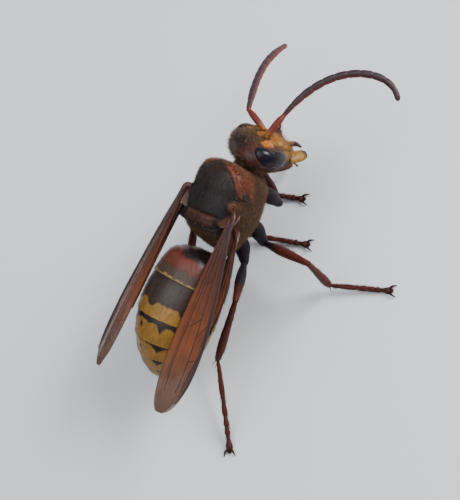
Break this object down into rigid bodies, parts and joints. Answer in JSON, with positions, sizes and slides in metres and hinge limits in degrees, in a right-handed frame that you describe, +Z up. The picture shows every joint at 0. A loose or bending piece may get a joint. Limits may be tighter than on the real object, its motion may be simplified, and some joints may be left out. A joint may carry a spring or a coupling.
{
  "type": "european hornet",
  "caption": "Life-size hornet standing on its feet, wings folded back over a curled banded abdomen and feelers held forward.",
  "frame": {"origin": "on the floor, under the middle of the whole insect's box", "axes": "+X towards the head, +Y towards the insect's left, +Z up from the floor"},
  "size_m": [0.0358, 0.0194, 0.0123],
  "materials": {
    "head_shell": "satin, with short golden hair",
    "eye": "glossy",
    "mandible": "satin, with a dark biting edge",
    "thorax_shell": "satin, with short golden-brown pile",
    "gaster_shell": "satin, yellow with dark brown bands",
    "antenna": "satin",
    "leg": "satin",
    "wing": "thin amber membrane with dark veins"
  },
  "bodies": {
    "root": {"coxa_front_left": "leg", "coxa_front_right": "leg", "coxa_hind_left": "leg", "coxa_hind_right": "leg", "coxa_mid_left": "leg", "coxa_mid_right": "leg", "eye_left": "eye", "eye_right": "eye", "femur_front_left": "leg", "femur_front_right": "leg", "femur_hind_left": "leg", "femur_hind_right": "leg", "femur_mid_left": "leg", "femur_mid_right": "leg", "flagellum_left_1": "antenna", "flagellum_left_2": "antenna", "flagellum_left_3": "antenna", "flagellum_right_1": "antenna", "flagellum_right_2": "antenna", "flagellum_right_3": "antenna", "forewing_left": "wing", "forewing_right": "wing", "gaster_1": "gaster_shell", "gaster_2": "gaster_shell", "gaster_3": "gaster_shell", "gaster_4": "gaster_shell", "gaster_5": "gaster_shell", "gaster_6": "gaster_shell", "gaster_7": "gaster_shell", "head": "head_shell", "hindwing_left": "wing", "hindwing_right": "wing", "mandible_left": "mandible", "mandible_right": "mandible", "mesothorax": "thorax_shell", "pronotum": "thorax_shell", "propodeum": "thorax_shell", "scape_left": "antenna", "scape_right": "antenna", "tarsus_front_left": "leg", "tarsus_front_right": "leg", "tarsus_hind_left": "leg", "tarsus_hind_right": "leg", "tarsus_mid_left": "leg", "tarsus_mid_right": "leg", "tibia_front_left": "leg", "tibia_front_right": "leg", "tibia_hind_left": "leg", "tibia_hind_right": "leg", "tibia_mid_left": "leg", "tibia_mid_right": "leg"}
  },
  "joints": []
}
